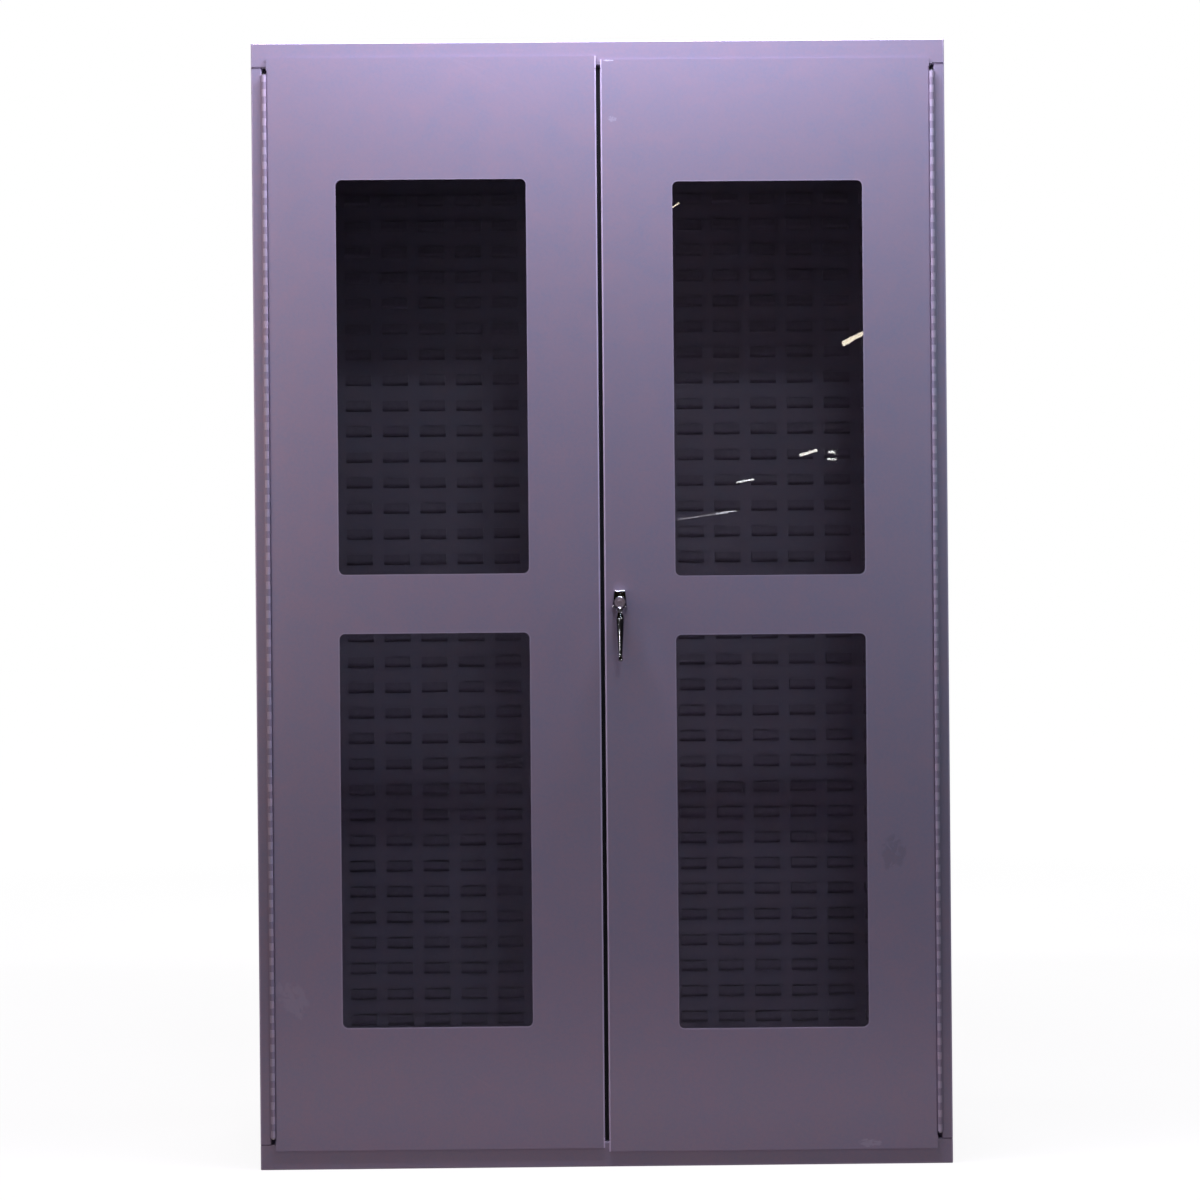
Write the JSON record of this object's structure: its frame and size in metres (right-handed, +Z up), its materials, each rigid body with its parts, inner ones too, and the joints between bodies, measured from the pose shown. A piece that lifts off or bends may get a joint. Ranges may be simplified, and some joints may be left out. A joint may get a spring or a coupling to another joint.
{
  "type": "tool cabinet",
  "caption": "Tall sheet-steel cabinet with windowed double doors on piano hinges, a louvered back for hanging bins, and an L-handle that works a cam and lock rods.",
  "frame": {"origin": "on the floor, under the middle of the shell: the middle of the floor channel's underside", "axes": "front faces -Y, back +Y, +X is right as seen from the front, +Z is up"},
  "size_m": [1.2192, 0.6593, 1.9812],
  "materials": {
    "shell_paint": "satin powder coat with a faint orange peel",
    "door_paint": "satin powder coat with a faint orange peel",
    "louver_paint": "satin powder coat",
    "pane": "clear polycarbonate sheet",
    "zinc_steel": "bright zinc plate",
    "chrome_casting": "polished chrome plate",
    "satin_metal": "satin nickel",
    "nylon": "moulded nylon"
  },
  "bodies": {
    "cabinet": {"top_pan": "shell_paint", "bottom_pan": "shell_paint", "left_side": "shell_paint", "right_side": "shell_paint", "back_panel": "shell_paint", "floor_channel": "shell_paint", "left_louver_panel": "louver_paint", "right_louver_panel": "louver_paint", "panel_spacers": "louver_paint", "left_frame_leaf": "shell_paint", "right_frame_leaf": "shell_paint", "left_hinge_pin": "zinc_steel", "right_hinge_pin": "zinc_steel"},
    "left_door": {"left_door_pan": "door_paint", "left_door_leaf": "door_paint", "left_door_stiffeners": "door_paint", "left_upper_pane": "pane", "left_lower_pane": "pane", "left_upper_retainers": "door_paint", "left_lower_retainers": "door_paint", "left_window_studs": "zinc_steel", "left_window_nuts": "zinc_steel", "strike_plate": "zinc_steel"},
    "right_door": {"right_door_pan": "door_paint", "right_door_leaf": "door_paint", "right_door_stiffeners": "door_paint", "right_upper_pane": "pane", "right_lower_pane": "pane", "right_upper_retainers": "door_paint", "right_lower_retainers": "door_paint", "right_window_studs": "zinc_steel", "right_window_nuts": "zinc_steel", "escutcheon": "chrome_casting", "lock_plate": "zinc_steel", "collar_nut": "zinc_steel", "rod_guides": "nylon"},
    "lever_handle": {"handle": "chrome_casting", "lock_core": "satin_metal", "cam": "zinc_steel", "cam_pins": "zinc_steel", "cam_screw": "zinc_steel"},
    "key_plug": {"key_plug": "satin_metal"},
    "upper_rod": {"upper_rod": "zinc_steel"},
    "lower_rod": {"lower_rod": "zinc_steel"}
  },
  "joints": [
    {"name": "left_door_swing", "type": "hinge", "parent": "cabinet", "child": "left_door", "pos_m": [-0.58667, -0.308, 0.9906], "axis": [0, 0, -1], "range_deg": [0, 180]},
    {"name": "right_door_swing", "type": "hinge", "parent": "cabinet", "child": "right_door", "pos_m": [0.58667, -0.308, 0.9906], "axis": [0, 0, 1], "range_deg": [0, 180]},
    {"name": "handle_turn", "type": "hinge", "parent": "right_door", "child": "lever_handle", "pos_m": [0.03005, -0.3073, 0.99335], "axis": [0, -1, 0], "range_deg": [0, 90]},
    {"name": "key_turn", "type": "hinge", "parent": "lever_handle", "child": "key_plug", "pos_m": [0.03005, -0.3333, 0.99335], "axis": [0, -1, 0], "range_deg": [0, 90]},
    {"name": "upper_rod_slide", "type": "slide", "parent": "right_door", "child": "upper_rod", "axis": [0, 0, 1], "range_m": [0, 0.0198]},
    {"name": "lower_rod_slide", "type": "slide", "parent": "right_door", "child": "lower_rod", "axis": [0, 0, -1], "range_m": [0, 0.0198]}
  ],
  "couplings": [
    {"joint": "upper_rod_slide", "follows": "handle_turn", "m_per_rad": 0.0126},
    {"joint": "lower_rod_slide", "follows": "handle_turn", "m_per_rad": 0.0126}
  ]
}
